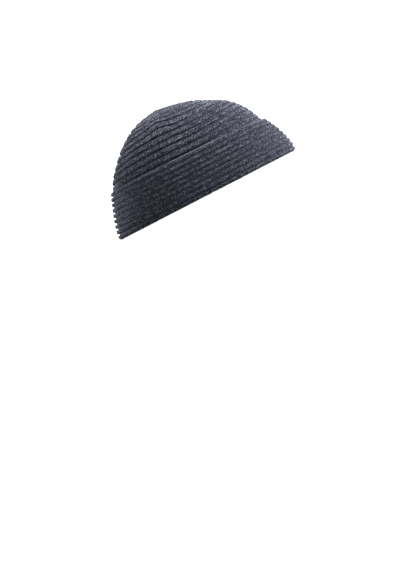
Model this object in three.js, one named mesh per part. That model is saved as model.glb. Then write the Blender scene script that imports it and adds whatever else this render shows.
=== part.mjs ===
// A knitted kufi: a close cap worked in thick round ribs that run parallel to its rim, with its
// lower edge turned up outside as a cuff. It stands on its rim, as it would on a table.
// X points to the forehead, Y to the wearer's left and Z up. All sizes are in millimetres.
// Both pieces are laid out from the crown's face, the outside of its ribs, which runs from the
// tip down under the cuff to the rim. A place on it is an angle round the crown's axis and a
// distance down from the tip, and "out" is how far a point stands off that face.

import * as THREE from "three";
import { ParametricGeometry } from "three/addons/geometries/ParametricGeometry.js";

// The crown's face. The axis runs through the tip, a little behind the middle of the rim.
const CAP_HEIGHT = 100; // rim to tip
const FRONT_REACH = 104.7; // axis to forehead at the rim
const BACK_REACH = 87.8; // axis to nape at the rim
const HALF_WIDTH = 81.3; // axis to temple at the rim
const PLAN_SQUARENESS = 2.15; // a ring is an ellipse at 2, and squarer above that
const AXIS_X = (BACK_REACH - FRONT_REACH) / 2; // puts the origin in the middle of the rim

// Rings of the crown's face from tip to rim, as shares of the four sizes above.
const RINGS = [
  { height: 1.0, front: 0.0, side: 0.0, back: 0.0 },
  { height: 0.996, front: 0.018, side: 0.023, back: 0.021 },
  { height: 0.984, front: 0.08, side: 0.1, back: 0.094 },
  { height: 0.96, front: 0.204, side: 0.24, back: 0.223 },
  { height: 0.915, front: 0.36, side: 0.433, back: 0.357 },
  { height: 0.85, front: 0.487, side: 0.588, back: 0.471 },
  { height: 0.76, front: 0.651, side: 0.717, back: 0.595 },
  { height: 0.66, front: 0.75, side: 0.812, back: 0.702 },
  { height: 0.545, front: 0.822, side: 0.887, back: 0.805 },
  { height: 0.41, front: 0.877, side: 0.942, back: 0.864 },
  { height: 0.26, front: 0.949, side: 0.976, back: 0.928 },
  { height: 0.08, front: 1.0, side: 0.998, back: 0.988 },
  { height: 0.0, front: 1.0, side: 1.0, back: 1.0 },
];

// The knit, which is one thickness in the crown and in the cuff.
const WALL = 2.7; // rib to inside
const TIP_WALL = 3.2; // at the tip, where the stitches are drawn together
const RIB_DEPTH = 1.3; // rib to groove
const FIT_GAP = 0.4; // between the crown and the cuff
const FOLD_HEIGHT = 4; // the turned fold below the crown's lower edge
const FOLD_ROUND = 1.2; // rounding of the fold's lower corner inside the cap
const EDGE_ROUND = 0.4; // rounding of the cuff's upper edge, inside
const EDGE_SLIMMING = 0.7; // the cuff's top rib thins out by this much towards its edge

// The cuff: how far it reaches up from the rim, along the crown's face.
const CUFF_DEPTH_FRONT = 44.5;
const CUFF_DEPTH_SIDE = 45.5;
const CUFF_DEPTH_BACK = 48.5;
const CUFF_RIBS = 9;

// The cuff's lowest rib turns under to the fold: a rise above the rim, and how far inside the
// cuff's face it lies there.
const TURNED_UNDER = [
  { rise: 1.4, inside: 0.6 },
  { rise: 0.4, inside: 1.5 },
  { rise: 0, inside: 2.6 },
];

// The crown's ribs, from the tip to its lower edge inside the cuff. They are crowded farther
// down, and over the forehead they are also spread near the tip.
const CROWN_RIBS = 20;
const RIB_PITCH_TOP = 8.15; // over the temples and the nape
const RIB_PITCH_LOW = 7.4;
const RIB_PITCH_FRONT_TOP = 9.6;
const RIB_PITCH_FRONT_LOW = 6.4;
const CROWDED_FROM_RIB = 7.5;

// Four lines of narrowed stitches run down from the tip, and pull the ribs up a little.
const NARROWING_LINES_DEG = [0, 97.5, 180, 262.5];
const NARROWING_LIFT = 4.8;
const NARROWING_HALF_WIDTH = 10;
const NARROWED_RIBS = 8.6; // the lines fade out this many ribs from the tip

const ROUND_SEGMENTS = 48;
const INSIDE_ROWS = 13;
const CUFF_INSIDE_ROWS = 6;

// One rib's two shoulders and the groove below it, as shares of its pitch and its depth.
const RIB_ROWS = [
  { along: -0.23, deep: 0.08 },
  { along: 0.23, deep: 0.08 },
  { along: 0.5, deep: 1 },
];

// A size that differs at the forehead, the temples and the nape, at an angle round the axis.
function around(angle, front, side, back) {
  const end = Math.cos(angle) > 0 ? front : back;
  return side + (end - side) * Math.abs(Math.cos(angle));
}

// How far a ring stands from the axis at an angle.
function ringRadius(angle, ring) {
  const reach = Math.cos(angle) > 0 ? ring.front * FRONT_REACH : ring.back * BACK_REACH;
  if (reach === 0) return 0;
  const ends = Math.abs(Math.cos(angle) / reach) ** PLAN_SQUARENESS;
  const sides = Math.abs(Math.sin(angle) / (ring.side * HALF_WIDTH)) ** PLAN_SQUARENESS;
  return (ends + sides) ** (-1 / PLAN_SQUARENESS);
}

// The crown's face at one angle, as a curve of radius and height from the tip down to the rim.
const faceCurves = new Map();
function faceCurve(angle) {
  const key = angle.toFixed(9);
  if (!faceCurves.has(key)) {
    const points = RINGS.map(
      (ring) => new THREE.Vector3(ringRadius(angle, ring), ring.height * CAP_HEIGHT, 0),
    );
    faceCurves.set(key, new THREE.CatmullRomCurve3(points, false, "centripetal"));
  }
  return faceCurves.get(key);
}

// A point that stands `out` off the face, `down` along it from the tip.
function facePoint(angle, down, out) {
  const curve = faceCurve(angle);
  const share = THREE.MathUtils.clamp(down / curve.getLength(), 0, 1);
  const spot = curve.getPointAt(share);
  const run = curve.getTangentAt(share);
  const radius = spot.x - run.y * out;
  const height = spot.y + run.x * out;
  return new THREE.Vector3(
    AXIS_X + radius * Math.cos(angle),
    radius * Math.sin(angle),
    height,
  );
}

function cuffDepth(angle) {
  return around(angle, CUFF_DEPTH_FRONT, CUFF_DEPTH_SIDE, CUFF_DEPTH_BACK);
}

// The way down from the tip to the crown's lower edge, which stands on the fold.
function lowerEdge(angle) {
  return faceCurve(angle).getLength() - FOLD_HEIGHT - FIT_GAP;
}

// How far a line of narrowed stitches pulls the knit up towards the tip, `ribs` ribs down.
function narrowingLift(angle, ribs, radius) {
  const fade = Math.sin(Math.PI * Math.min(ribs / NARROWED_RIBS, 1) ** 2);
  const pulls = NARROWING_LINES_DEG.map((line) => {
    const turn = angle - THREE.MathUtils.degToRad(line);
    const away = radius * Math.abs(Math.atan2(Math.sin(turn), Math.cos(turn)));
    return Math.exp(-((away / NARROWING_HALF_WIDTH) ** 2));
  });
  return NARROWING_LIFT * fade * Math.max(...pulls);
}

// The way down from the tip to a place counted in ribs: by their pitch as far as the cuff's
// upper edge, and then spread evenly over what the cuff hides.
function ribDown(angle, ribs) {
  const topPitch = around(angle, RIB_PITCH_FRONT_TOP, RIB_PITCH_TOP, RIB_PITCH_TOP);
  const lowPitch = around(angle, RIB_PITCH_FRONT_LOW, RIB_PITCH_LOW, RIB_PITCH_LOW);
  const cuffEdge = faceCurve(angle).getLength() - cuffDepth(angle);
  const topRun = CROWDED_FROM_RIB * topPitch;
  const ribsShown = CROWDED_FROM_RIB + (cuffEdge - topRun) / lowPitch;
  if (ribs > ribsShown) {
    const hidden = (ribs - ribsShown) / (CROWN_RIBS - 0.5 - ribsShown);
    return cuffEdge + hidden * (lowerEdge(angle) - cuffEdge);
  }
  const down =
    ribs < CROWDED_FROM_RIB ? ribs * topPitch : topRun + (ribs - CROWDED_FROM_RIB) * lowPitch;
  const radius = faceCurve(angle).getPointAt(down / faceCurve(angle).getLength()).x;
  return down - narrowingLift(angle, ribs, radius);
}

// The crown from its tip down the outside, round its lower edge, and up the inside.
function crownRows() {
  const rows = [() => new THREE.Vector3(AXIS_X, 0, CAP_HEIGHT)];
  for (let rib = 0; rib < CROWN_RIBS; rib++) {
    for (const { along, deep } of RIB_ROWS) {
      if (rib + along < 0) continue; // the first rib is round the tip itself
      rows.push((angle) => facePoint(angle, ribDown(angle, rib + along), -deep * RIB_DEPTH));
    }
  }
  for (let row = INSIDE_ROWS; row > 0; row--) {
    rows.push((angle) => facePoint(angle, (lowerEdge(angle) * row) / INSIDE_ROWS, -WALL));
  }
  rows.push(() => new THREE.Vector3(AXIS_X, 0, CAP_HEIGHT - TIP_WALL));
  return rows;
}

// The cuff from the fold's underside up behind, past the ledge that the crown's lower edge
// stands on, over its upper edge and down its ribs. Places are a share of the cuff's depth and
// a rise, both up from the rim.
function cuffRows() {
  const face = FIT_GAP + WALL;
  const rows = [];
  const add = (share, rise, out) =>
    rows.push((angle) => {
      const up = share * cuffDepth(angle) + rise;
      return facePoint(angle, faceCurve(angle).getLength() - up, out);
    });
  add(0, 0, FOLD_ROUND - WALL);
  add(0, FOLD_ROUND, -WALL);
  add(0, FOLD_HEIGHT, -WALL);
  for (let row = 0; row < CUFF_INSIDE_ROWS; row++) {
    add(row / CUFF_INSIDE_ROWS, FOLD_HEIGHT * (1 - row / CUFF_INSIDE_ROWS), FIT_GAP);
  }
  add(1, -EDGE_ROUND, FIT_GAP);
  add(1, 0, FIT_GAP + EDGE_ROUND);
  add(1, 0, face - RIB_DEPTH - EDGE_SLIMMING);
  for (let rib = 0; rib < CUFF_RIBS; rib++) {
    for (const { along, deep } of RIB_ROWS) {
      const ribsDown = rib + 0.5 + along;
      if (ribsDown > CUFF_RIBS - 0.5) continue; // the last rib turns under instead
      const slimming = EDGE_SLIMMING * Math.max(0, 1 - ribsDown);
      add(1 - ribsDown / CUFF_RIBS, 0, face - deep * RIB_DEPTH - slimming);
    }
  }
  for (const { rise, inside } of TURNED_UNDER) add(0, rise, face - inside);
  rows.push(rows[0]);
  return rows;
}

// A closed skin through rows of points, each row a function of the angle round the axis.
function knittedPiece(name, rows, colour) {
  const last = rows.length - 1;
  const place = (u, v, target) => target.copy(rows[Math.round(v * last)](-2 * Math.PI * (u % 1)));
  const geometry = new ParametricGeometry(place, ROUND_SEGMENTS, last);
  const material = new THREE.MeshStandardMaterial({ color: colour, roughness: 0.95, metalness: 0 });
  const mesh = new THREE.Mesh(geometry, material);
  mesh.name = name;
  return mesh;
}

const kufi = new THREE.Group();
kufi.add(knittedPiece("crown", crownRows(), 0x45464f));
kufi.add(knittedPiece("cuff", cuffRows(), 0x4a4b55));

export default kufi;
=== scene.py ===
"""The looks of a knitted kufi cap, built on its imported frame.

The file is laid out as a Blender add-on and is run as a script. Every face stitch of the outside
is two legs of yarn and every purl stitch is one bar of it, set on points that are worked out on
the frame's own ribs, course by course. Loose fibres stand off the yarn.
Lengths are millimetres in the sums and metres in the meshes.
"""

import math

import bpy
import numpy as np
from mathutils import Matrix, Vector


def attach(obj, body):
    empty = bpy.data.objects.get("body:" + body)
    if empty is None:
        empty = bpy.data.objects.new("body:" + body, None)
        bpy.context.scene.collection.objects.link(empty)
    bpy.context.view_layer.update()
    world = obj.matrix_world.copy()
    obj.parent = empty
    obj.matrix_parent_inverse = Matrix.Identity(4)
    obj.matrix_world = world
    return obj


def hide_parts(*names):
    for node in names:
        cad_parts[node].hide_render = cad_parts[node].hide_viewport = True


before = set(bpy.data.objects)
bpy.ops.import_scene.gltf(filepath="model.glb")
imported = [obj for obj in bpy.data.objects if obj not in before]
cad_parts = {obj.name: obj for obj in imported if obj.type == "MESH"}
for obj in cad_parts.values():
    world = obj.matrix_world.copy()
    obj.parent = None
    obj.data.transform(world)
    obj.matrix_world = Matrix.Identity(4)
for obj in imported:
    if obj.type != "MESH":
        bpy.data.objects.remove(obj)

bl_info = {
    "name": "Knitted kufi",
    "version": (1, 0, 0),
    "blender": (4, 5, 0),
    "location": "3D View > Sidebar > Kufi",
    "description": "Builds the yarn, the stitches and the stage of a knitted kufi cap",
    "category": "Object",
}

MM = 0.001
TURN = 2 * math.pi
QUARTERS = [TURN * quarter / 4 for quarter in range(4)]

# The crown's face, the outside of its ribs, with the same sizes as the frame.
CAP_HEIGHT = 100
FRONT_REACH = 104.7
BACK_REACH = 87.8
HALF_WIDTH = 81.3
PLAN_SQUARENESS = 2.15
AXIS_X = (BACK_REACH - FRONT_REACH) / 2

# Rings of the face from tip to rim, as shares of those sizes: height, front, side, back.
RINGS = np.array(
    [
        (1.0, 0.0, 0.0, 0.0),
        (0.996, 0.018, 0.023, 0.021),
        (0.984, 0.08, 0.1, 0.094),
        (0.96, 0.204, 0.24, 0.223),
        (0.915, 0.36, 0.433, 0.357),
        (0.85, 0.487, 0.588, 0.471),
        (0.76, 0.651, 0.717, 0.595),
        (0.66, 0.75, 0.812, 0.702),
        (0.545, 0.822, 0.887, 0.805),
        (0.41, 0.877, 0.942, 0.864),
        (0.26, 0.949, 0.976, 0.928),
        (0.08, 1.0, 0.998, 0.988),
        (0.0, 1.0, 1.0, 1.0),
    ]
)

# The knit, its fold and its ribs, as in the frame.
WALL = 2.7
TIP_WALL = 3.2
RIB_DEPTH = 1.3
FIT_GAP = 0.4
FOLD_HEIGHT = 4
EDGE_SLIMMING = 0.7
CUFF_DEPTH_FRONT = 44.5
CUFF_DEPTH_SIDE = 45.5
CUFF_DEPTH_BACK = 48.5
CUFF_RIBS = 9
CROWN_RIBS = 20
RIB_PITCH_TOP = 8.15
RIB_PITCH_LOW = 7.4
RIB_PITCH_FRONT_TOP = 9.6
RIB_PITCH_FRONT_LOW = 6.4
CROWDED_FROM_RIB = 7.5
NARROWING_LINES_DEG = (0, 97.5, 180, 262.5)
NARROWING_LIFT = 4.8
NARROWING_HALF_WIDTH = 10
NARROWED_RIBS = 8.6

# The fabric under the yarn: how a rib rounds into its groove, and how fine the skin is. The
# grooves have their full depth at the back, and are stretched shallower at the sides and in front.
RIB_FLAT = 0.14
GROOVE_SHARPNESS = 2.1
GROOVES_FRONT = 0.35
GROOVES_SIDE = 0.55
GROOVES_BACK = 1.0
INSIDE_HOLLOWS = 0.5  # how deep the crown's inside is hollowed behind each rib
SKIN_COLUMNS = 144
SKIN_ROWS_PER_RIB = 4
CUFF_INSIDE_ROWS = 12

# The cuff's lowest rib turns under, and goes on round the fold as half an oval.
FOLD_STARTS = 3.65  # above the rim
FOLD_HALF_WIDTH = (FIT_GAP + 2 * WALL) / 2
FOLD_DROP = 3.35  # from its start to its lowest line
FOLD_ENDS_AT_RIB = 10.25  # counted on from the cuff's ribs

# Courses of face stitches on one rib, as shares of its pitch from the rib's middle, and the
# height of a course as such a share. A course of purl stitches lies in each groove. The fold's
# courses are counted in ribs from the cuff's edge.
CROWN_COURSES = (-0.3, -0.1, 0.1, 0.3)
CROWN_COURSE_SHARE = 0.2
CUFF_COURSES = (-0.22, 0.0, 0.22)
CUFF_COURSE_SHARE = 0.215
FOLD_COURSES = (9.02, 9.28, 9.54, 9.8)

# The stitches are in pieces of a few ribs each: the crown's first and last rib in each piece,
# the way in ribs from the tip that its fibres cover, and the number of the cuff's pieces. The
# crown's stitches run on a little inside the cuff's edge.
CROWN_PARTS = ((0, 5), (6, 9), (10, 14))
CROWN_FIBRES_TO_RIB = 14.5
CUFF_PARTS = 3
TUCKED_IN = 3.5

# Courses on the reverse, which has a row of bumps for each.
CROWN_COURSE_HEIGHT = 1.8
CUFF_COURSES_PER_RIB = 4

# Face stitches: how deep their legs lie in the fabric, how far each stands from the stitch's
# middle as a share of its width, and how much their lean in radians and their place vary.
YARN_SUNK = 0.45
LEG_ASIDE = 0.25
LEAN_SCATTER = 0.06
PLACE_SCATTER = 0.06

# Purl stitches: how far they are sunk below a groove of full depth, their width, and their length
# as a share of the space from stitch to stitch.
PURL_SUNK = 1.7
PURL_WIDTH = 0.85
PURL_OVERLAP = 1.25

# Painted shade and painted highlight: the yarn's colour is made darker in a groove and lighter on a
# rib's top, standing in for the shade in the groove and the light on the rib. A shade of 1 is as
# much as the legs' own tones differ, and the values hold where the grooves have their full depth.
PURL_PAINTED_SHADE = 3.4
FACE_PAINTED_SHADING = 8.0  # for each whole pitch away from the neutral place below
PAINTED_SHADING_ZERO_AT = 0.15  # from the rib's middle, as a share of its pitch

# The bound-off chain along the cuff's upper edge. Its place is counted in ribs from the edge, its
# tilt is how far it faces upwards, and its lean is in radians. Each leg's width is a share of the
# wale pitch, and its length a share of the space from stitch to stitch.
EDGE_CHAIN_AT_RIB = 0.02
EDGE_CHAIN_TILT = 0.15
EDGE_CHAIN_SUNK = 1.0
EDGE_CHAIN_LEAN = 0.42
EDGE_CHAIN_YARN = 0.5
EDGE_CHAIN_OVERLAP = 1.35
EDGE_CHAIN_HALF_WIDTH = 0.45

# Loose fibres of the wool, which stand off the yarn all over the outside. Real ones are half as
# thick and many times as many. Places are tried on each piece, and fewer are kept towards the tip.
FIBRES = 14000
FIBRE_THICKNESS = 0.04
FIBRE_LENGTH = 1.3
FIBRE_LENGTHS = (0.5, 1.5)  # shortest and longest, as shares of that
FIBRE_RISES = (0.1, 1.2)  # flattest and steepest rise off the fabric
FIBRE_ROOT = 0.3  # how deep it starts in the yarn

# The wool's patterns. Flecks of 0.8 mm are drawn coarser than real fibres of about 0.02 mm, which
# are too fine to show. Patches on the reverse are as wide as a stitch, 2.4 mm. The plies cross a
# leg about every 0.5 mm of its length, on its own UV map.
FLECKS_PER_METRE = 1250.0
PATCHES_PER_METRE = 420.0
PLY_SCALE = 0.9
PLY_DEPTH = 0.18
REVERSE_BUMP_DEPTH = 0.6
REVERSE_BUMP_EDGE = 0.22  # the valley round a bump, as a share of a course

# Fixed seeds: for the places of each operator's stitches, and for the tones of each piece.
CROWN_SEED = 11
CUFF_SEED = 12
TONE_SEEDS = {
    "crown_stitches_1": 0,
    "crown_stitches_2": 1,
    "crown_stitches_3": 2,
    "crown_fibres": 3,
    "cuff_stitches_1": 10,
    "cuff_stitches_2": 11,
    "cuff_stitches_3": 12,
    "cuff_edge_chain": 20,
    "cuff_fibres": 21,
}

# The stage, in metres. Each light comes from its side. The bright wall behind the cap fades
# between two places, which are counted from 1 at the wall's middle to -1 on the camera's side.
FLOOR_HALF_SIDE = 60.0
KEY_SIDE = (0.85, -0.02, 0.65)
KEY_SOFTNESS_DEG = 45
RIM_SIDE = (-0.85, 0.4, 0.45)
RIM_SOFTNESS_DEG = 20
WALL_SIDE = (-0.35, 0.93, 0)
WALL_FADES_FROM = -0.5
WALL_FADES_TO = 0.35
WALL_DARKEST = 0.05
WALL_BRIGHTEST = 2.8
SENSOR_WIDTH = 36  # in millimetres
CAMERA_AIM = (-0.048, 0, -0.076)  # below the rim, as the cap stands high in the picture

# The table of the face has these steps round the cap and from tip to rim. Directions on it are
# taken over a small angle or a small part of a rib, and a course is measured in fine steps.
ANGLE_STEPS = 360
SHARE_STEPS = 400
SMALL_ANGLE = 0.004
SMALL_RIB = 0.02
COURSE_STEPS = 200
TINY_LENGTH = 1e-12


def linear_colour(hex_colour):
    """A colour written as hex in sRGB, as the linear RGBA that shaders take."""
    parts = [int(hex_colour[i : i + 2], 16) / 255 for i in (0, 2, 4)]
    linear = [p / 12.92 if p <= 0.04045 else ((p + 0.055) / 1.055) ** 2.4 for p in parts]
    return (*linear, 1.0)


def unit(vectors):
    """The same directions with length 1."""
    lengths = np.linalg.norm(vectors, axis=-1, keepdims=True)
    return vectors / np.maximum(lengths, TINY_LENGTH)


def around(angle, front, side, back):
    """A size that differs in front, at the sides and at the back, at an angle."""
    end = np.where(np.cos(angle) > 0, front, back)
    return side + (end - side) * np.abs(np.cos(angle))


def ring_radii(angles):
    """How far every ring of the face stands from the axis, one row for each angle."""
    front, side, back = RINGS[1:, 1], RINGS[1:, 2], RINGS[1:, 3]
    cosines, sines = np.cos(angles)[:, None], np.sin(angles)[:, None]
    reach = np.where(cosines > 0, front * FRONT_REACH, back * BACK_REACH)
    ends = np.abs(cosines / reach) ** PLAN_SQUARENESS
    sides = np.abs(sines / (side * HALF_WIDTH)) ** PLAN_SQUARENESS
    radii = (ends + sides) ** (-1 / PLAN_SQUARENESS)
    return np.concatenate([np.zeros((len(angles), 1)), radii], axis=1)


def centripetal_spline(points, steps=24):
    """A smooth curve through each row of points, with the given steps between neighbours."""
    first = 2 * points[:, :1] - points[:, 1:2]
    last = 2 * points[:, -1:] - points[:, -2:-1]
    row = np.concatenate([first, points, last], axis=1)
    gaps = np.linalg.norm(np.diff(row, axis=1), axis=2, keepdims=True) ** 0.5
    t = np.linspace(0, 1, steps, endpoint=False)[:, None]
    parts = []
    for i in range(1, row.shape[1] - 2):
        before, start, end, after = (row[:, k, None] for k in range(i - 1, i + 3))
        gap0, gap1, gap2 = (gaps[:, k, None] for k in range(i - 1, i + 2))
        leave = (start - before) / gap0 - (end - before) / (gap0 + gap1) + (end - start) / gap1
        arrive = (end - start) / gap1 - (after - start) / (gap1 + gap2) + (after - end) / gap2
        leave, arrive = leave * gap1, arrive * gap1
        bend = -3 * start + 3 * end - 2 * leave - arrive
        twist = 2 * start - 2 * end + leave + arrive
        parts.append(start + leave * t + bend * t**2 + twist * t**3)
    return np.concatenate([*parts, points[:, -1:]], axis=1)


def face_table():
    """The face at every angle, evenly spaced from tip to rim: radius, height and their run.

    Also gives the way down the face from tip to rim at every angle.
    """
    angles = np.linspace(0, TURN, ANGLE_STEPS + 1)
    radii = ring_radii(angles)
    heights = np.broadcast_to(RINGS[:, 0] * CAP_HEIGHT, radii.shape)
    spline = centripetal_spline(np.stack([radii, heights], axis=-1))
    steps = np.linalg.norm(np.diff(spline, axis=1), axis=2)
    way = np.concatenate([np.zeros((len(angles), 1)), np.cumsum(steps, axis=1)], axis=1)
    shares = np.linspace(0, 1, SHARE_STEPS + 1)
    spots = np.array(
        [
            [np.interp(shares * w[-1], w, line[:, part]) for part in (0, 1)]
            for w, line in zip(way, spline)
        ]
    ).transpose(0, 2, 1)
    runs = unit(np.gradient(spots, axis=1))
    return np.concatenate([spots, runs], axis=2), way[:, -1]


FACE, FACE_LENGTHS = face_table()


def face_length(angle):
    """The way down the face from tip to rim at an angle."""
    return np.interp(angle % TURN, np.linspace(0, TURN, ANGLE_STEPS + 1), FACE_LENGTHS)


def face_values(angle, down):
    """Radius, height and their run on the face, mixed between the table's nearest places."""
    column = (angle % TURN) / TURN * ANGLE_STEPS
    row = np.clip(down / face_length(angle), 0, 1) * SHARE_STEPS
    i = np.minimum(column.astype(int), ANGLE_STEPS - 1)
    j = np.minimum(row.astype(int), SHARE_STEPS - 1)
    across, along = (column - i)[..., None], (row - j)[..., None]
    upper = FACE[i, j] * (1 - across) + FACE[i + 1, j] * across
    lower = FACE[i, j + 1] * (1 - across) + FACE[i + 1, j + 1] * across
    return np.moveaxis(upper * (1 - along) + lower * along, -1, 0)


def face_point(angle, down, out):
    """A point in metres that stands `out` off the face, `down` along it from the tip."""
    angle, down, out = np.broadcast_arrays(angle, down, out)
    radius, height, radius_run, height_run = face_values(angle, down)
    radius = radius - height_run * out
    height = height + radius_run * out
    x = AXIS_X + radius * np.cos(angle)
    return np.stack([x, radius * np.sin(angle), height], axis=-1) * MM


def cuff_depth(angle):
    """How far the cuff reaches up the face from the rim."""
    return around(angle, CUFF_DEPTH_FRONT, CUFF_DEPTH_SIDE, CUFF_DEPTH_BACK)


def lower_edge(angle):
    """The way down from the tip to the crown's lower edge, on the fold."""
    return face_length(angle) - FOLD_HEIGHT - FIT_GAP


def narrowing_lift(angle, ribs, radius):
    """How far the lines of narrowed stitches pull the knit up, `ribs` ribs below the tip."""
    fade = np.sin(np.pi * np.minimum(ribs / NARROWED_RIBS, 1) ** 2)
    pull = 0
    for line in NARROWING_LINES_DEG:
        turn = angle - math.radians(line)
        away = radius * np.abs(np.arctan2(np.sin(turn), np.cos(turn)))
        pull = np.maximum(pull, np.exp(-((away / NARROWING_HALF_WIDTH) ** 2)))
    return NARROWING_LIFT * fade * pull


def rib_down(angle, ribs):
    """The way down from the tip to a place that is counted in ribs."""
    angle, ribs = np.broadcast_arrays(angle, ribs)
    top_pitch = around(angle, RIB_PITCH_FRONT_TOP, RIB_PITCH_TOP, RIB_PITCH_TOP)
    low_pitch = around(angle, RIB_PITCH_FRONT_LOW, RIB_PITCH_LOW, RIB_PITCH_LOW)
    cuff_edge = face_length(angle) - cuff_depth(angle)
    top_run = CROWDED_FROM_RIB * top_pitch
    shown = CROWDED_FROM_RIB + (cuff_edge - top_run) / low_pitch
    hidden = (ribs - shown) / (CROWN_RIBS - 0.5 - shown)
    under_cuff = cuff_edge + hidden * (lower_edge(angle) - cuff_edge)
    crowded = top_run + (ribs - CROWDED_FROM_RIB) * low_pitch
    down = np.where(ribs < CROWDED_FROM_RIB, ribs * top_pitch, crowded)
    lift = narrowing_lift(angle, np.maximum(ribs, 0), face_values(angle, down)[0])
    return np.where(ribs > shown, under_cuff, down - lift)


def groove(along):
    """How deep the fabric dips, 0 on a rib's top to 1 in a groove, by shares of the pitch."""
    off = np.abs(along - np.round(along))
    return (np.maximum(off - RIB_FLAT, 0) / (0.5 - RIB_FLAT)) ** GROOVE_SHARPNESS


def groove_share(angle):
    """How deep the grooves are at an angle, as a share of the rib's depth."""
    return around(angle, GROOVES_FRONT, GROOVES_SIDE, GROOVES_BACK)


def crown_outside(angle, ribs, out=0.0):
    """A point on the crown's ribbed outside."""
    ribs = np.asarray(ribs, float)
    dip = RIB_DEPTH * groove_share(angle) * groove(ribs)
    return face_point(angle, rib_down(angle, ribs), out - dip)


def cuff_outside(angle, ribs, out=0.0):
    """A point on the cuff's ribbed outside, counted in ribs from its edge, and round the fold."""
    ribs = np.asarray(ribs, float)
    rise = (1 - ribs / CUFF_RIBS) * cuff_depth(angle)
    turned = np.clip((FOLD_STARTS - rise) / ((FOLD_HALF_WIDTH + FOLD_DROP) / 2), 0, np.pi)
    slimming = EDGE_SLIMMING * np.maximum(0, 1 - ribs)
    dip = RIB_DEPTH * groove_share(angle) * groove(ribs - 0.5) * (ribs < CUFF_RIBS - 0.5)
    across = (FOLD_HALF_WIDTH + out) * np.cos(turned) - dip - slimming
    up = np.maximum(rise, FOLD_STARTS) - (FOLD_DROP + out) * np.sin(turned)
    return face_point(angle, face_length(angle) - up, FIT_GAP + WALL - FOLD_HALF_WIDTH + across)


def frames_on(surface, angle, ribs):
    """Where stitches lie: their middles and their unit vectors round the cap, up and out."""
    middle = surface(angle, ribs)
    turn = unit(surface(angle + SMALL_ANGLE, ribs) - surface(angle - SMALL_ANGLE, ribs))
    up = unit(surface(angle, ribs - SMALL_RIB) - surface(angle, ribs + SMALL_RIB))
    out = unit(np.cross(turn, up))
    return middle, turn, up, out


def evenly_round(surface, ribs, pitch, lines):
    """Angles of one course's stitches, an even number between each two lines, and their spacing."""
    angles, spacings = [], []
    for start, end in zip(lines, (*lines[1:], lines[0] + TURN)):
        fine = np.linspace(start, end, COURSE_STEPS)
        steps = np.linalg.norm(np.diff(surface(fine, ribs), axis=0), axis=1) / MM
        way = np.concatenate([[0], np.cumsum(steps)])
        count = max(2, 2 * round(way[-1] / pitch / 2))
        places = (np.arange(count) + 0.5) / count * way[-1]
        angles.append(np.interp(places, way, fine))
        spacings.append(np.full(count, way[-1] / count))
    return np.concatenate(angles), np.concatenate(spacings)


class KnitSettings(bpy.types.PropertyGroup):
    """Sizes of the yarn and the stitches."""

    wale_pitch: bpy.props.FloatProperty(
        name="Wale pitch",
        description="Width of one stitch, measured round the cap, in millimetres",
        default=2.35,
        min=1.5,
    )
    lean: bpy.props.FloatProperty(
        name="Leg lean",
        description="How far each leg of a stitch leans from upright",
        default=math.radians(23),
        subtype="ANGLE",
        min=0,
        max=math.radians(45),
    )
    yarn_width: bpy.props.FloatProperty(
        name="Yarn width",
        description="Width of a leg as a share of the wale pitch",
        default=0.56,
        subtype="FACTOR",
        min=0.3,
        max=0.8,
    )
    overlap: bpy.props.FloatProperty(
        name="Leg length",
        description="Length of a leg as a share of the height of a course",
        default=1.4,
        min=1,
        max=2,
    )
    yarn_depth: bpy.props.FloatProperty(
        name="Yarn depth",
        description="Thickness of a leg, measured off the fabric, in millimetres",
        default=1.25,
        min=0.5,
        max=2,
    )
    fabric_depth: bpy.props.FloatProperty(
        name="Fabric depth",
        description="How far the fabric's skin lies under the face, in millimetres",
        default=1.2,
        min=0,
        max=1.4,
    )
    unevenness: bpy.props.FloatProperty(
        name="Unevenness",
        description="How much the stitches differ from each other",
        default=0.09,
        subtype="FACTOR",
        min=0,
        max=0.3,
    )


class WoolSettings(bpy.types.PropertyGroup):
    """Colours of the heathered wool."""

    dark: bpy.props.FloatVectorProperty(
        name="Dark fibres",
        description="Colour of the navy fibres",
        default=linear_colour("1D1E27")[:3],
        subtype="COLOR",
        size=3,
        min=0,
        max=1,
    )
    middle: bpy.props.FloatVectorProperty(
        name="Mixed fibres",
        description="Colour of the yarn where its fibres are evenly mixed",
        default=linear_colour("353643")[:3],
        subtype="COLOR",
        size=3,
        min=0,
        max=1,
    )
    light: bpy.props.FloatVectorProperty(
        name="Light fibres",
        description="Colour of the grey fibres",
        default=linear_colour("707382")[:3],
        subtype="COLOR",
        size=3,
        min=0,
        max=1,
    )
    tone_spread: bpy.props.FloatProperty(
        name="Tone spread",
        description="How much the legs of the stitches differ in tone",
        default=0.25,
        subtype="FACTOR",
        min=0,
        max=1,
    )
    speckle: bpy.props.FloatProperty(
        name="Speckle",
        description="How strongly the fibres of each colour show within the yarn",
        default=2.4,
        min=0,
        max=3,
    )
    nap: bpy.props.FloatProperty(
        name="Nap",
        description="Strength of the soft sheen of loose fibres",
        default=0.25,
        subtype="FACTOR",
        min=0,
        max=1,
    )


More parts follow.
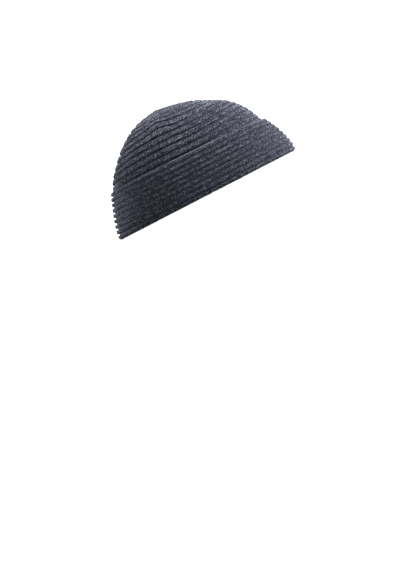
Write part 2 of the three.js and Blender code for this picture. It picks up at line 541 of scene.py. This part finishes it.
class StageSettings(bpy.types.PropertyGroup):
    """The camera and the light."""

    camera_distance: bpy.props.FloatProperty(
        name="Camera distance",
        description="From the camera to the cap's middle",
        default=2.0,
        unit="LENGTH",
    )
    camera_height: bpy.props.FloatProperty(
        name="Camera height",
        description="Height of the camera above the floor",
        default=0.003,
        unit="LENGTH",
    )
    camera_roll: bpy.props.FloatProperty(
        name="Camera roll",
        description="How far the camera is turned about its own axis",
        default=math.radians(27.3),
        subtype="ANGLE",
    )
    lens: bpy.props.FloatProperty(
        name="Lens",
        description="Focal length of the camera's lens",
        default=126.3,
        unit="CAMERA",
    )
    key_strength: bpy.props.FloatProperty(
        name="Key light",
        description="Strength of the soft light above the front, in watts per square metre",
        default=20.5,
        min=0,
    )
    rim_strength: bpy.props.FloatProperty(
        name="Rim light",
        description="Strength of the soft light from behind the back, in watts per square metre",
        default=4.8,
        min=0,
    )


def add_node(tree, kind, inputs=None, **settings):
    """A node with its settings, its inputs each set to a value or linked from a socket."""
    node = tree.nodes.new(kind)
    for name, value in settings.items():
        setattr(node, name, value)
    for name, value in (inputs or {}).items():
        if isinstance(value, bpy.types.NodeSocket):
            tree.links.new(value, node.inputs[name])
        else:
            node.inputs[name].default_value = value
    return node


def new_material(name):
    """An empty material and its node tree."""
    material = bpy.data.materials.new(name)
    material.use_nodes = True
    material.node_tree.nodes.clear()
    return material, material.node_tree


def centred(tree, value, strength, middle):
    """A value between 0 and 1 as a strong or weak swing either side of a middle."""
    swing = add_node(tree, "ShaderNodeMath", {0: value, 1: 0.5}, operation="SUBTRACT")
    inputs = {0: swing.outputs[0], 1: strength, 2: middle}
    return add_node(tree, "ShaderNodeMath", inputs, operation="MULTIPLY_ADD").outputs[0]


def heather_ramp(tree, wool, factor):
    """The wool's colours, from its dark to its light fibres."""
    ramp = add_node(tree, "ShaderNodeValToRGB", {"Fac": factor})
    stops = ramp.color_ramp.elements
    stops[0].position, stops[0].color = 0.0, (*wool.dark, 1)
    stops[1].position, stops[1].color = 1.0, (*wool.light, 1)
    middle = stops.new(0.5)
    middle.color = (*wool.middle, 1)
    return ramp.outputs["Color"]


def finish_wool(tree, wool, colour, height, distance):
    """The wool's shader, with its bump and its output.

    Wool is matt, because its rough fibres scatter light. Those that stand up give it a faint,
    pale sheen where it turns away.
    """
    bump = add_node(
        tree, "ShaderNodeBump", {"Height": height, "Distance": distance, "Strength": 1.0}
    )
    shader = add_node(
        tree,
        "ShaderNodeBsdfPrincipled",
        {
            "Base Color": colour,
            "Roughness": 0.92,
            "Specular IOR Level": 0.2,
            "Sheen Weight": wool.nap,
            "Sheen Roughness": 0.5,
            "Sheen Tint": (*wool.light, 1),
            "Normal": bump.outputs["Normal"],
        },
    )
    add_node(tree, "ShaderNodeOutputMaterial", {"Surface": shader.outputs["BSDF"]})


def make_yarn(wool):
    """Wool yarn spun from fibres of several dyes: a soft charcoal with light and dark flecks.

    Each leg is dyed a little lighter or darker at random, and carries painted shade towards a
    groove and a painted highlight on a rib's top. Its plies run round it in a twist.
    """
    material, tree = new_material("heathered wool yarn")
    place = add_node(tree, "ShaderNodeTexCoord")
    tone_and_painted_shade = add_node(tree, "ShaderNodeAttribute", attribute_name="tone_and_painted_shade")
    flecks = add_node(
        tree,
        "ShaderNodeTexVoronoi",
        {"Vector": place.outputs["Object"], "Scale": FLECKS_PER_METRE},
    )
    fleck = add_node(tree, "ShaderNodeSeparateColor", {"Color": flecks.outputs["Color"]})
    # The attribute holds each leg's random lightness less its painted shade, and tone_spread swings
    # both.
    legs = centred(tree, tone_and_painted_shade.outputs["Fac"], wool.tone_spread, 0.0)
    share = centred(tree, fleck.outputs["Red"], wool.speckle, legs)
    colour = heather_ramp(tree, wool, share)
    plies = add_node(
        tree,
        "ShaderNodeTexWave",
        {
            "Vector": place.outputs["UV"],
            "Scale": PLY_SCALE,
            "Distortion": 1.5,
            "Detail": 2.0,
            "Detail Scale": 3.0,
        },
        wave_type="BANDS",
        bands_direction="DIAGONAL",
    )
    finish_wool(tree, wool, colour, plies.outputs["Fac"], PLY_DEPTH * MM)
    return material


def make_fabric(wool):
    """The knit's reverse and the ground under the stitches: mottled wool in rows of bumps.

    A bump is one course high and as wide as a column of the skin. Near the rim that is 4 mm,
    which is coarser than a real stitch, so that the bumps show.
    """
    material, tree = new_material("heathered wool knit, reverse")
    place = add_node(tree, "ShaderNodeTexCoord")
    mottle = add_node(
        tree,
        "ShaderNodeTexNoise",
        {"Vector": place.outputs["Object"], "Scale": PATCHES_PER_METRE, "Detail": 4.0},
    )
    colour = heather_ramp(tree, wool, mottle.outputs["Fac"])
    bumps = add_node(
        tree,
        "ShaderNodeTexBrick",
        {
            "Vector": place.outputs["UV"],
            "Scale": 1.0,
            "Mortar Size": REVERSE_BUMP_EDGE,
            "Mortar Smooth": 1.0,
            "Brick Width": 1.0,
            "Row Height": 1.0,
        },
    )
    lumps = add_node(
        tree, "ShaderNodeMath", {0: 1.0, 1: bumps.outputs["Fac"]}, operation="SUBTRACT"
    )
    finish_wool(tree, wool, colour, lumps.outputs[0], REVERSE_BUMP_DEPTH * MM)
    return material


def link_mesh(name, vertices, faces):
    """An object with a smooth mesh, in the scene."""
    mesh = bpy.data.meshes.new(name)
    mesh.from_pydata(vertices, [], faces)
    mesh.shade_smooth()
    obj = bpy.data.objects.new(name, mesh)
    bpy.context.scene.collection.objects.link(obj)
    return obj


def skin(name, rows, closed, uv_rows):
    """A skin through rows of points round the cap; a row of one point closes it in a fan.

    uv_rows counts the courses at every row, so that the reverse's bumps have their real height.
    """
    starts = np.cumsum([0, *[len(row) for row in rows]])
    faces, places = [], []
    pairs = list(zip(range(len(rows) - 1), range(1, len(rows))))
    if closed:
        pairs.append((len(rows) - 1, 0))
    for upper, lower in pairs:
        for i in range(SKIN_COLUMNS):
            face = [(upper, i), (lower, i), (lower, i + 1), (upper, i + 1)]
            if len(rows[upper]) == 1:
                face.pop(3)
            if len(rows[lower]) == 1:
                face.pop(2)
            faces.append([starts[row] + column % len(rows[row]) for row, column in face])
            places += [(column, uv_rows[row]) for row, column in face]
    obj = link_mesh(name, np.concatenate(rows).tolist(), faces)
    uv = obj.data.uv_layers.new(name="UVMap")
    uv.data.foreach_set("uv", np.array(places, np.float32).ravel())
    return obj


def ride_on_cap(obj, material, *nodes):
    """Gives a piece its material and its place on the frame, for the nodes that it replaces."""
    obj.data.materials.clear()
    obj.data.materials.append(material)
    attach(obj, "root")
    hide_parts(*nodes)
    return obj


def columns():
    """The angles of a skin's columns of points."""
    return np.linspace(0, TURN, SKIN_COLUMNS, endpoint=False)


def crown_skin(knit):
    """The crown's fabric: its ribbed outside under the yarn, its edge and its reverse."""
    angle = columns()
    depth = knit.fabric_depth
    last_row = round((CROWN_RIBS - 0.5) * SKIN_ROWS_PER_RIB)
    rows = [np.array([[AXIS_X, 0, CAP_HEIGHT - depth]]) * MM]
    counts = [0.0]
    for row in range(1, last_row + 1):
        ribs = row / SKIN_ROWS_PER_RIB
        rows.append(crown_outside(angle, ribs, -depth))
        counts.append(ribs * RIB_PITCH_TOP / CROWN_COURSE_HEIGHT)
    for row in range(last_row, 0, -1):
        ribs = row / SKIN_ROWS_PER_RIB
        hollow = INSIDE_HOLLOWS * (1 - groove(np.asarray(ribs)))
        rows.append(face_point(angle, rib_down(angle, ribs), -WALL + hollow))
        counts.append(ribs * RIB_PITCH_TOP / CROWN_COURSE_HEIGHT)
    rows.append(np.array([[AXIS_X, 0, CAP_HEIGHT - TIP_WALL]]) * MM)
    counts.append(0.0)
    return rows, counts


def cuff_skin(knit):
    """The cuff's fabric: down its ribs, round the fold to the ledge, and up inside to the edge."""
    angle = columns()
    rows, counts = [], []
    for row in range(round(FOLD_ENDS_AT_RIB * SKIN_ROWS_PER_RIB) + 1):
        ribs = row / SKIN_ROWS_PER_RIB
        inside = max(0, ribs - CUFF_RIBS) / (FOLD_ENDS_AT_RIB - CUFF_RIBS)
        rows.append(cuff_outside(angle, ribs, -knit.fabric_depth * (1 - inside)))
        counts.append(ribs * CUFF_COURSES_PER_RIB)
    for row in range(CUFF_INSIDE_ROWS + 1):
        share = row / CUFF_INSIDE_ROWS
        up = share * cuff_depth(angle) + FOLD_HEIGHT * (1 - share)
        rows.append(face_point(angle, face_length(angle) - up, FIT_GAP))
        counts.append((FOLD_ENDS_AT_RIB + 1 + share * CUFF_RIBS) * CUFF_COURSES_PER_RIB)
    return rows, counts


def above_cuff(angle, ribs):
    """Whether a place on the crown shows over the cuff, or lies just inside its edge."""
    return rib_down(angle, ribs) < face_length(angle) - cuff_depth(angle) + TUCKED_IN


def everywhere(angle, ribs):
    """The cuff's stitches all show."""
    return np.full(len(angle), True)


def lay_course(surface, ribs, knit, lines, shown):
    """The angles of one course's stitches, how far apart they are and how they lie."""
    angle, spacing = evenly_round(surface, ribs, knit.wale_pitch, lines)
    kept = shown(angle, ribs)
    angle, spacing = angle[kept], spacing[kept]
    return angle, spacing, *frames_on(surface, angle, ribs)


def uneven(rng, sizes, knit):
    """Sizes in metres, each a little off."""
    sizes = np.stack(np.broadcast_arrays(*sizes), axis=1) * MM
    return sizes * (1 + rng.normal(0, knit.unevenness, sizes.shape))


def laid(place, up, out, sizes, shade=0.0):
    """Stitches as rows: place, upward vector, outward vector, size and the painted shade they
    carry.
    """
    painted_shades = np.broadcast_to(shade, len(place))[:, None]
    return np.hstack([place, up, out, sizes, painted_shades])


def face_stitches(surface, rib, along, share, lean_sign, knit, lines, shown, rng):
    """The legs of one course of face stitches, as rows.

    lean_sign is 1 on the crown, and -1 on the cuff, whose stitches are turned upside down.
    """
    ribs = rib + along
    angle, spacing, middle, turn, up, out = lay_course(surface, ribs, knit, lines, shown)
    # Painted shade on courses towards a groove, and a painted highlight on those near the rib's
    # middle.
    shade = FACE_PAINTED_SHADING * (abs(along) - PAINTED_SHADING_ZERO_AT) * groove_share(angle)
    above, below = surface(angle, ribs - SMALL_RIB), surface(angle, ribs + SMALL_RIB)
    rib_length = np.linalg.norm(above - below, axis=1) / (2 * SMALL_RIB * MM)
    depth = knit.yarn_depth * np.minimum(1, spacing / knit.wale_pitch)
    legs = []
    for side in (-1, 1):
        lean = knit.lean + rng.normal(0, LEAN_SCATTER, len(spacing))
        lean = (side * lean_sign * lean)[:, None]
        leg_up = up * np.cos(lean) + turn * np.sin(lean)
        sizes = (spacing * knit.yarn_width, rib_length * share * knit.overlap, depth)
        off = turn * (side * LEG_ASIDE * spacing)[:, None] - out * YARN_SUNK
        off += rng.normal(0, PLACE_SCATTER, middle.shape)
        legs.append(laid(middle + off * MM, leg_up, out, uneven(rng, sizes, knit), shade))
    return np.concatenate(legs)


def purl_stitches(surface, ribs, knit, lines, shown, rng):
    """The bars of the purl stitches in one groove, which lie along it."""
    angle, spacing, middle, turn, up, out = lay_course(surface, ribs, knit, lines, shown)
    deep = groove_share(angle)
    off = rng.normal(0, PLACE_SCATTER, middle.shape) - out * (PURL_SUNK * deep)[:, None]
    sizes = (PURL_WIDTH, spacing * PURL_OVERLAP, PURL_WIDTH)
    # The purl bars carry painted shade, the more the deeper their groove.
    return laid(middle + off * MM, turn, out, uneven(rng, sizes, knit), PURL_PAINTED_SHADE * deep)


def edge_chain(knit, rng):
    """The bound-off chain along the cuff's upper edge: links of two legs that meet in a point."""
    angle, spacing = evenly_round(cuff_outside, 0, knit.wale_pitch, QUARTERS)
    middle, turn, _, face_out = frames_on(cuff_outside, angle, EDGE_CHAIN_AT_RIB)
    out = unit(face_out + np.array([0, 0, EDGE_CHAIN_TILT]))
    up = unit(np.cross(out, turn))
    legs = []
    for side in (-1, 1):
        lean = side * (EDGE_CHAIN_LEAN + rng.normal(0, LEAN_SCATTER, len(angle)))[:, None]
        leg_up = turn * np.cos(lean) + up * np.sin(lean)
        width = knit.wale_pitch * EDGE_CHAIN_YARN
        sizes = (width, spacing * EDGE_CHAIN_OVERLAP, knit.yarn_depth)
        off = up * (side * EDGE_CHAIN_HALF_WIDTH) - out * EDGE_CHAIN_SUNK
        legs.append(laid(middle + off * MM, leg_up, out, uneven(rng, sizes, knit)))
    return np.concatenate(legs)


def loose_fibres(surface, first_rib, last_rib, count, shown, rng):
    """Fibres that stand off the yarn in all directions, as many to each square centimetre."""
    ribs = rng.uniform(first_rib, last_rib, count)
    angle = rng.uniform(0, TURN, count)
    radius = np.hypot(*(surface(angle, ribs)[:, :2] - (AXIS_X * MM, 0)).T)
    kept = (rng.uniform(0, radius.max(), count) < radius) & shown(angle, ribs)
    angle, ribs = angle[kept], ribs[kept]
    middle, turn, up, out = frames_on(surface, angle, ribs)
    way = rng.uniform(0, TURN, len(angle))[:, None]
    raised = rng.uniform(*FIBRE_RISES, len(angle))[:, None]
    along = unit(turn * np.cos(way) + up * np.sin(way) + out * raised)
    across = unit(np.cross(along, turn + up))
    length = FIBRE_LENGTH * rng.uniform(*FIBRE_LENGTHS, len(angle))
    thickness = np.full_like(length, FIBRE_THICKNESS)
    sizes = np.stack([thickness, length, thickness], axis=1) * MM
    root = middle - out * FIBRE_ROOT * MM
    return laid(root, along, across, sizes)


def wool_fibre():
    """One fibre of size 1 each way, which tapers from its root to its tip."""
    root = [(math.sin(TURN * i / 3) / 2, 0.0, math.cos(TURN * i / 3) / 2) for i in range(3)]
    tip = (0.0, 1.0, 0.0)
    faces = [(0, 2, 1), (0, 1, 3), (1, 2, 3), (2, 0, 3)]
    fibre = link_mesh("wool_fibre", [*root, tip], faces)
    fibre.data.uv_layers.new(name="UVMap")
    return fibre


def yarn_leg():
    """One leg of a stitch, of size 1 each way: a spindle that arches off the fabric.

    Each station is a place along the leg with its radius there and its lift. The UV map counts
    2 round the leg and 3 along it, so that the plies run over it at a slant.
    """
    sides = 4
    stations = ((-0.33, 0.38, -0.26), (0.0, 0.5, 0.0), (0.33, 0.38, -0.26))
    points = [(0.0, -0.5, -0.7)]
    for y, radius, lift in stations:
        for corner in range(sides):
            turn = TURN * corner / sides
            points.append((radius * math.sin(turn), y, radius * math.cos(turn) + lift))
    points.append((0.0, 0.5, -0.7))
    faces = []
    for corner in range(sides):
        following = (corner + 1) % sides
        faces.append((0, 1 + corner, 1 + following))
        for ring in range(len(stations) - 1):
            a, b = 1 + ring * sides + corner, 1 + ring * sides + following
            faces.append((a, a + sides, b + sides, b))
        last = 1 + (len(stations) - 1) * sides
        faces.append((last + corner, len(points) - 1, last + following))
    leg = link_mesh("yarn_leg", points, faces)
    uv = leg.data.uv_layers.new(name="UVMap")
    for loop in leg.data.loops:
        x, y, z = points[loop.vertex_index]
        uv.data[loop.index].uv = (math.atan2(x, z + 0.2) / TURN * 2, y * 3)
    return leg


def stitch_tree():
    """Geometry nodes that set a leg of yarn on every point, turned and sized as the point says."""
    tree = bpy.data.node_groups.new("Legs of yarn on points", "GeometryNodeTree")
    for name, kind in (
        ("Points", "NodeSocketGeometry"),
        ("Leg", "NodeSocketObject"),
        ("Wool", "NodeSocketMaterial"),
    ):
        tree.interface.new_socket(name=name, in_out="INPUT", socket_type=kind)
    tree.interface.new_socket(name="Stitches", in_out="OUTPUT", socket_type="NodeSocketGeometry")
    given = add_node(tree, "NodeGroupInput").outputs
    vectors = {
        name: add_node(
            tree, "GeometryNodeInputNamedAttribute", {"Name": name}, data_type="FLOAT_VECTOR"
        ).outputs["Attribute"]
        for name in ("out", "up", "size")
    }
    turned = add_node(
        tree,
        "FunctionNodeAxesToRotation",
        {"Primary Axis": vectors["out"], "Secondary Axis": vectors["up"]},
        primary_axis="Z",
        secondary_axis="Y",
    )
    leg = add_node(tree, "GeometryNodeObjectInfo", {"Object": given["Leg"]})
    legs = add_node(
        tree,
        "GeometryNodeInstanceOnPoints",
        {
            "Points": given["Points"],
            "Instance": leg.outputs["Geometry"],
            "Rotation": turned.outputs["Rotation"],
            "Scale": vectors["size"],
        },
    )
    real = add_node(tree, "GeometryNodeRealizeInstances", {"Geometry": legs.outputs["Instances"]})
    dyed = add_node(
        tree,
        "GeometryNodeSetMaterial",
        {"Geometry": real.outputs["Geometry"], "Material": given["Wool"]},
    )
    add_node(tree, "NodeGroupOutput", {"Stitches": dyed.outputs["Geometry"]})
    return tree


def set_stitches(name, legs, leg, tree, yarn, *nodes):
    """A piece of stitches or fibres: one leg or fibre on every point, as one plain mesh."""
    points = bpy.data.meshes.new(name)
    points.from_pydata(legs[:, :3].tolist(), [], [])
    for start, label in ((3, "up"), (6, "out"), (9, "size")):
        layer = points.attributes.new(label, "FLOAT_VECTOR", "POINT")
        layer.data.foreach_set("vector", legs[:, start : start + 3].astype(np.float32).ravel())
    # Each point's random lightness, less its painted shade.
    tones_and_painted_shade = np.random.default_rng(TONE_SEEDS[name]).random(len(legs)) - legs[:, 12]
    points.attributes.new("tone_and_painted_shade", "FLOAT", "POINT").data.foreach_set("value", tones_and_painted_shade)
    obj = bpy.data.objects.new(name, points)
    bpy.context.scene.collection.objects.link(obj)
    modifier = obj.modifiers.new("stitches", "NODES")
    modifier.node_group = tree
    values = {"Leg": leg, "Wool": yarn}
    for socket in tree.interface.items_tree:
        if socket.name in values:
            modifier[socket.identifier] = values[socket.name]
    evaluated = bpy.context.evaluated_depsgraph_get()
    mesh = bpy.data.meshes.new_from_object(
        obj.evaluated_get(evaluated), preserve_all_data_layers=True, depsgraph=evaluated
    )
    obj.modifiers.clear()
    obj.data = mesh
    for label in ("up", "out", "size"):
        if label in mesh.attributes:
            mesh.attributes.remove(mesh.attributes[label])
    return ride_on_cap(obj, yarn, *nodes)


def shared_parts():
    """The materials, the leg of yarn, the fibre and the node tree, made once for all pieces."""
    wool = bpy.context.scene.kufi_wool
    made = bpy.data.materials
    yarn = made.get("heathered wool yarn") or make_yarn(wool)
    fabric = made.get("heathered wool knit, reverse") or make_fabric(wool)
    leg = bpy.data.objects.get("yarn_leg") or yarn_leg()
    leg.hide_render = True
    fibre = bpy.data.objects.get("wool_fibre") or wool_fibre()
    fibre.hide_render = True
    tree = bpy.data.node_groups.get("Legs of yarn on points") or stitch_tree()
    return yarn, fabric, leg, fibre, tree


class KUFI_OT_crown(bpy.types.Operator):
    """Build the crown's fabric and the stitches of its ribs, from the tip to the cuff"""

    bl_idname = "kufi.crown"
    bl_label = "Build the crown"

    def execute(self, context):
        knit = context.scene.kufi_knit
        yarn, fabric, leg, fibre, tree = shared_parts()
        rows, counts = crown_skin(knit)
        ride_on_cap(skin("crown_fabric", rows, False, counts), fabric, "crown")
        rng = np.random.default_rng(CROWN_SEED)
        lines = [math.radians(line) for line in NARROWING_LINES_DEG]
        for part, (first, last) in enumerate(CROWN_PARTS, 1):
            courses = []
            for rib in range(first, last + 1):
                for along in CROWN_COURSES:
                    if rib + along > 0:
                        place = (crown_outside, rib, along, CROWN_COURSE_SHARE, 1)
                        courses.append(face_stitches(*place, knit, lines, above_cuff, rng))
                place = (crown_outside, rib + 0.5)
                courses.append(purl_stitches(*place, knit, lines, above_cuff, rng))
            legs = np.concatenate(courses)
            set_stitches(f"crown_stitches_{part}", legs, leg, tree, yarn, "crown")
        fibres = loose_fibres(crown_outside, 0, CROWN_FIBRES_TO_RIB, FIBRES, above_cuff, rng)
        set_stitches("crown_fibres", fibres, fibre, tree, yarn, "crown")
        return {"FINISHED"}


class KUFI_OT_cuff(bpy.types.Operator):
    """Build the turned-up cuff's fabric, the stitches of its ribs and the chain along its edge"""

    bl_idname = "kufi.cuff"
    bl_label = "Build the cuff"

    def execute(self, context):
        knit = context.scene.kufi_knit
        yarn, fabric, leg, fibre, tree = shared_parts()
        rows, counts = cuff_skin(knit)
        ride_on_cap(skin("cuff_fabric", rows, True, counts), fabric, "cuff")
        rng = np.random.default_rng(CUFF_SEED)
        ribs_each = CUFF_RIBS // CUFF_PARTS
        for part in range(1, CUFF_PARTS + 1):
            courses = []
            for rib in range(ribs_each * (part - 1), ribs_each * part):
                for along in CUFF_COURSES:
                    place = (cuff_outside, rib + 0.5, along, CUFF_COURSE_SHARE, -1)
                    courses.append(face_stitches(*place, knit, QUARTERS, everywhere, rng))
                if rib + 1 < CUFF_RIBS:
                    place = (cuff_outside, rib + 1)
                    courses.append(purl_stitches(*place, knit, QUARTERS, everywhere, rng))
            if part == CUFF_PARTS:
                for ribs in FOLD_COURSES:
                    place = (cuff_outside, ribs, 0, CUFF_COURSE_SHARE, -1)
                    courses.append(face_stitches(*place, knit, QUARTERS, everywhere, rng))
            legs = np.concatenate(courses)
            set_stitches(f"cuff_stitches_{part}", legs, leg, tree, yarn, "cuff")
        chain = edge_chain(knit, rng)
        set_stitches("cuff_edge_chain", chain, leg, tree, yarn, "cuff")
        fibres = loose_fibres(cuff_outside, 0, CUFF_RIBS - 0.5, FIBRES, everywhere, rng)
        set_stitches("cuff_fibres", fibres, fibre, tree, yarn, "cuff")
        return {"FINISHED"}


class KUFI_OT_stage(bpy.types.Operator):
    """Build the white floor, the soft light and the camera"""

    bl_idname = "kufi.stage"
    bl_label = "Build the stage"

    def execute(self, context):
        settings = context.scene.kufi_stage
        make_floor()
        make_world(context.scene)
        soft_sun("key_light", KEY_SIDE, KEY_SOFTNESS_DEG, settings.key_strength)
        soft_sun("rim_light", RIM_SIDE, RIM_SOFTNESS_DEG, settings.rim_strength)
        make_camera(context.scene, settings)
        context.scene.view_settings.view_transform = "Standard"
        return {"FINISHED"}


def make_floor():
    """A wide floor of matt paper that the cap stands on.

    It is darker than real white paper, so that it throws less light up at the cap, and the key
    light still makes it white.
    """
    side = FLOOR_HALF_SIDE
    square = [(-side, -side, 0), (side, -side, 0), (side, side, 0), (-side, side, 0)]
    floor = link_mesh("floor", square, [(0, 1, 2, 3)])
    material, tree = new_material("white paper")
    shader = add_node(
        tree,
        "ShaderNodeBsdfPrincipled",
        {"Base Color": linear_colour("898989"), "Roughness": 1.0, "Specular IOR Level": 0.0},
    )
    add_node(tree, "ShaderNodeOutputMaterial", {"Surface": shader.outputs["BSDF"]})
    floor.data.materials.append(material)


def make_world(scene):
    """White walls all round that are darker on the camera's side."""
    world = bpy.data.worlds.new("white studio")
    world.use_nodes = True
    tree = world.node_tree
    tree.nodes.clear()
    place = add_node(tree, "ShaderNodeTexCoord")
    toward_wall = add_node(
        tree,
        "ShaderNodeVectorMath",
        {0: place.outputs["Generated"], 1: WALL_SIDE},
        operation="DOT_PRODUCT",
    )
    shade = add_node(
        tree,
        "ShaderNodeMapRange",
        {
            "Value": toward_wall.outputs["Value"],
            "From Min": WALL_FADES_FROM,
            "From Max": WALL_FADES_TO,
            "To Min": WALL_DARKEST,
            "To Max": WALL_BRIGHTEST,
        },
        interpolation_type="SMOOTHSTEP",
    )
    light = add_node(tree, "ShaderNodeBackground", {"Strength": shade.outputs["Result"]})
    add_node(tree, "ShaderNodeOutputWorld", {"Surface": light.outputs["Background"]})
    scene.world = world


def soft_sun(name, side, softness_deg, strength):
    """An even light from one side, as wide as a sky light of the given angle."""
    data = bpy.data.lights.new(name, "SUN")
    data.angle = math.radians(softness_deg)
    data.energy = strength
    light = bpy.data.objects.new(name, data)
    light.rotation_euler = Vector(side).to_track_quat("Z", "Y").to_euler()
    bpy.context.scene.collection.objects.link(light)


def make_camera(scene, settings):
    """The camera of the photograph, seen from the cap: level with the rim and rolled."""
    data = bpy.data.cameras.new("camera")
    data.lens = settings.lens
    data.sensor_width = SENSOR_WIDTH
    camera = bpy.data.objects.new("camera", data)
    scene.collection.objects.link(camera)
    aim = Vector(CAMERA_AIM)
    place = Vector((aim.x, -settings.camera_distance, settings.camera_height))
    ahead = (aim - place).normalized()
    raised = Vector((math.sin(settings.camera_roll), 0, math.cos(settings.camera_roll)))
    right = ahead.cross(raised).normalized()
    raised = right.cross(ahead)
    turned = Matrix((right, raised, -ahead)).transposed().to_4x4()
    camera.matrix_world = Matrix.Translation(place) @ turned
    scene.camera = camera


class KUFI_PT_panel(bpy.types.Panel):
    """The cap's settings and its build steps"""

    bl_label = "Knitted kufi"
    bl_space_type = "VIEW_3D"
    bl_region_type = "UI"
    bl_category = "Kufi"

    def draw(self, context):
        scene = context.scene
        for settings in (scene.kufi_knit, scene.kufi_wool, scene.kufi_stage):
            box = self.layout.box()
            for name in settings.__annotations__:
                box.prop(settings, name)
        for operator in (KUFI_OT_crown, KUFI_OT_cuff, KUFI_OT_stage):
            self.layout.operator(operator.bl_idname)


CLASSES = (
    KnitSettings,
    WoolSettings,
    StageSettings,
    KUFI_OT_crown,
    KUFI_OT_cuff,
    KUFI_OT_stage,
    KUFI_PT_panel,
)


def register():
    """Makes the classes and the scene's settings known to Blender."""
    for cls in CLASSES:
        bpy.utils.register_class(cls)
    bpy.types.Scene.kufi_knit = bpy.props.PointerProperty(type=KnitSettings)
    bpy.types.Scene.kufi_wool = bpy.props.PointerProperty(type=WoolSettings)
    bpy.types.Scene.kufi_stage = bpy.props.PointerProperty(type=StageSettings)


def unregister():
    """Takes them away again, in the opposite order."""
    del bpy.types.Scene.kufi_stage
    del bpy.types.Scene.kufi_wool
    del bpy.types.Scene.kufi_knit
    for cls in reversed(CLASSES):
        bpy.utils.unregister_class(cls)


def main():
    """Builds every piece and the stage."""
    register()
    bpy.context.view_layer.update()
    bpy.ops.kufi.crown()
    bpy.ops.kufi.cuff()
    bpy.ops.kufi.stage()


if __name__ == "__main__":
    main()
